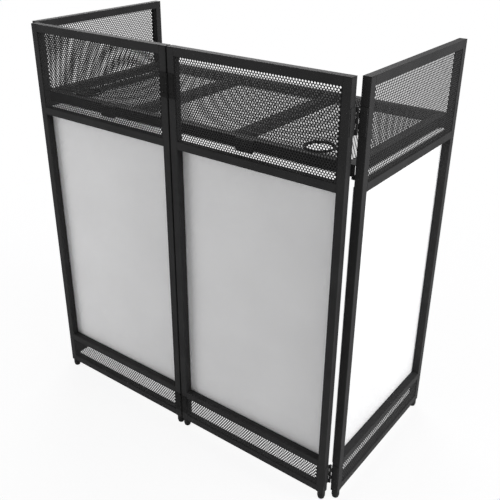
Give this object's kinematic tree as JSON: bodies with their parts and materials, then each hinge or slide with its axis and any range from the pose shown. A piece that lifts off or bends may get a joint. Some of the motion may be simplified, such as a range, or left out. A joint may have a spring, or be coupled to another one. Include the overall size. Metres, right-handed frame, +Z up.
{
  "type": "dj booth",
  "caption": "Folding DJ booth facade: black square-tube panels with perforated grilles and white stretched scrims, hinged at the centre and corners, with a lift-out perforated table.",
  "frame": {"origin": "on the floor, at the middle of the booth's width and depth", "axes": "+Z up; -Y towards the audience, so the front panels face -Y; +X to the right of someone who looks at the front"},
  "size_m": [1.105, 0.553, 1.191],
  "materials": {
    "frame_paint": "satin",
    "perforated_paint": "satin",
    "hinge_paint": "semi-gloss",
    "hinge_steel": "plain",
    "white_scrim": "matte",
    "hook_tape": "matte",
    "foot_plastic": "matte",
    "cap_plastic": "matte",
    "pad_rubber": "matte",
    "grommet_plastic": "satin"
  },
  "bodies": {
    "front_right": {"front_right_base_grille": "perforated_paint", "front_right_end_caps": "cap_plastic", "front_right_feet": "foot_plastic", "front_right_frame": "frame_paint", "front_right_scrim": "white_scrim", "front_right_scrim_tapes": "hook_tape", "front_right_top_grille": "perforated_paint", "centre_hinge_right_leaves": "hinge_paint", "centre_hinge_pins": "hinge_steel", "right_corner_hinge_front_leaves": "hinge_paint", "right_corner_hinge_pins": "hinge_steel"},
    "front_left": {"front_left_base_grille": "perforated_paint", "front_left_end_caps": "cap_plastic", "front_left_feet": "foot_plastic", "front_left_frame": "frame_paint", "front_left_scrim": "white_scrim", "front_left_scrim_tapes": "hook_tape", "front_left_top_grille": "perforated_paint", "centre_hinge_left_leaves": "hinge_paint", "left_corner_hinge_front_leaves": "hinge_paint", "left_corner_hinge_pins": "hinge_steel"},
    "right_side": {"right_side_base_grille": "perforated_paint", "right_side_end_caps": "cap_plastic", "right_side_feet": "foot_plastic", "right_side_frame": "frame_paint", "right_side_rest_pad": "pad_rubber", "right_side_scrim": "white_scrim", "right_side_scrim_tapes": "hook_tape", "right_side_table_rest": "frame_paint", "right_side_top_grille": "perforated_paint", "right_corner_hinge_side_leaves": "hinge_paint"},
    "left_side": {"left_side_base_grille": "perforated_paint", "left_side_end_caps": "cap_plastic", "left_side_feet": "foot_plastic", "left_side_frame": "frame_paint", "left_side_rest_pad": "pad_rubber", "left_side_scrim": "white_scrim", "left_side_scrim_tapes": "hook_tape", "left_side_table_rest": "frame_paint", "left_side_top_grille": "perforated_paint", "left_corner_hinge_side_leaves": "hinge_paint"},
    "table": {"left_cable_grommet": "grommet_plastic", "right_cable_grommet": "grommet_plastic", "table_front_lugs": "frame_paint", "table_left_beam": "frame_paint", "table_rear_beam": "frame_paint", "table_right_beam": "frame_paint", "table_rim": "frame_paint", "table_side_lugs": "frame_paint", "table_top": "perforated_paint"}
  },
  "joints": [
    {"name": "centre_fold", "type": "hinge", "parent": "front_right", "child": "front_left", "pos_m": [0, -0.2735, 0.506], "axis": [0, 0, 1], "range_deg": [0, 180]},
    {"name": "right_swing", "type": "hinge", "parent": "front_right", "child": "right_side", "pos_m": [0.5275, -0.2455, 0.506], "axis": [0, 0, -1], "range_deg": [0, 90]},
    {"name": "left_swing", "type": "hinge", "parent": "front_left", "child": "left_side", "pos_m": [-0.5275, -0.2455, 0.506], "axis": [0, 0, 1], "range_deg": [0, 90]},
    {"name": "table_lift", "type": "slide", "parent": "front_right", "child": "table", "axis": [0, 0, 1], "range_m": [0, 0.25]}
  ]
}
